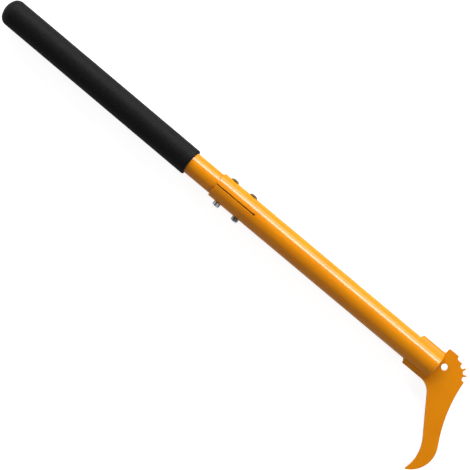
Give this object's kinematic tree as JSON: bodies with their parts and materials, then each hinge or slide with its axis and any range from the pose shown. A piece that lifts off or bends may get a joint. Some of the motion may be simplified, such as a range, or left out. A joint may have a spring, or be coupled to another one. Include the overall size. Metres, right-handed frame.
{
  "type": "pickaroon",
  "caption": "Log-handling hook: toothed steel plate with a curved beak, welded in a painted tube that clamps over a thinner tube with a closed foam grip.",
  "frame": {"origin": "on the handle's axis at the middle of the foam grip", "axes": "+X along the handle towards the hook, the hook plate in the XY plane with its beak to -Y, +Z square to the plate"},
  "size_m": [0.7108, 0.1393, 0.033],
  "materials": {
    "orange_powder_coat": "glossy orange powder coat on steel",
    "grip_tube_coat": "glossy orange powder coat on steel tube",
    "black_foam": "matte closed-cell foam",
    "zinc_plate": "bright zinc plate",
    "nylon": "natural nylon",
    "black_plastic": "moulded polyethylene"
  },
  "bodies": {
    "root": {"head_plate": "orange_powder_coat", "main_tube": "orange_powder_coat", "crown_weld": "orange_powder_coat", "beak_weld": "orange_powder_coat", "mouth_welds": "orange_powder_coat", "grip_tube": "grip_tube_coat", "foam_grip": "black_foam", "clamp_bolts": "zinc_plate", "lock_nuts": "zinc_plate", "nut_inserts": "nylon", "end_plug": "black_plastic"}
  },
  "joints": []
}
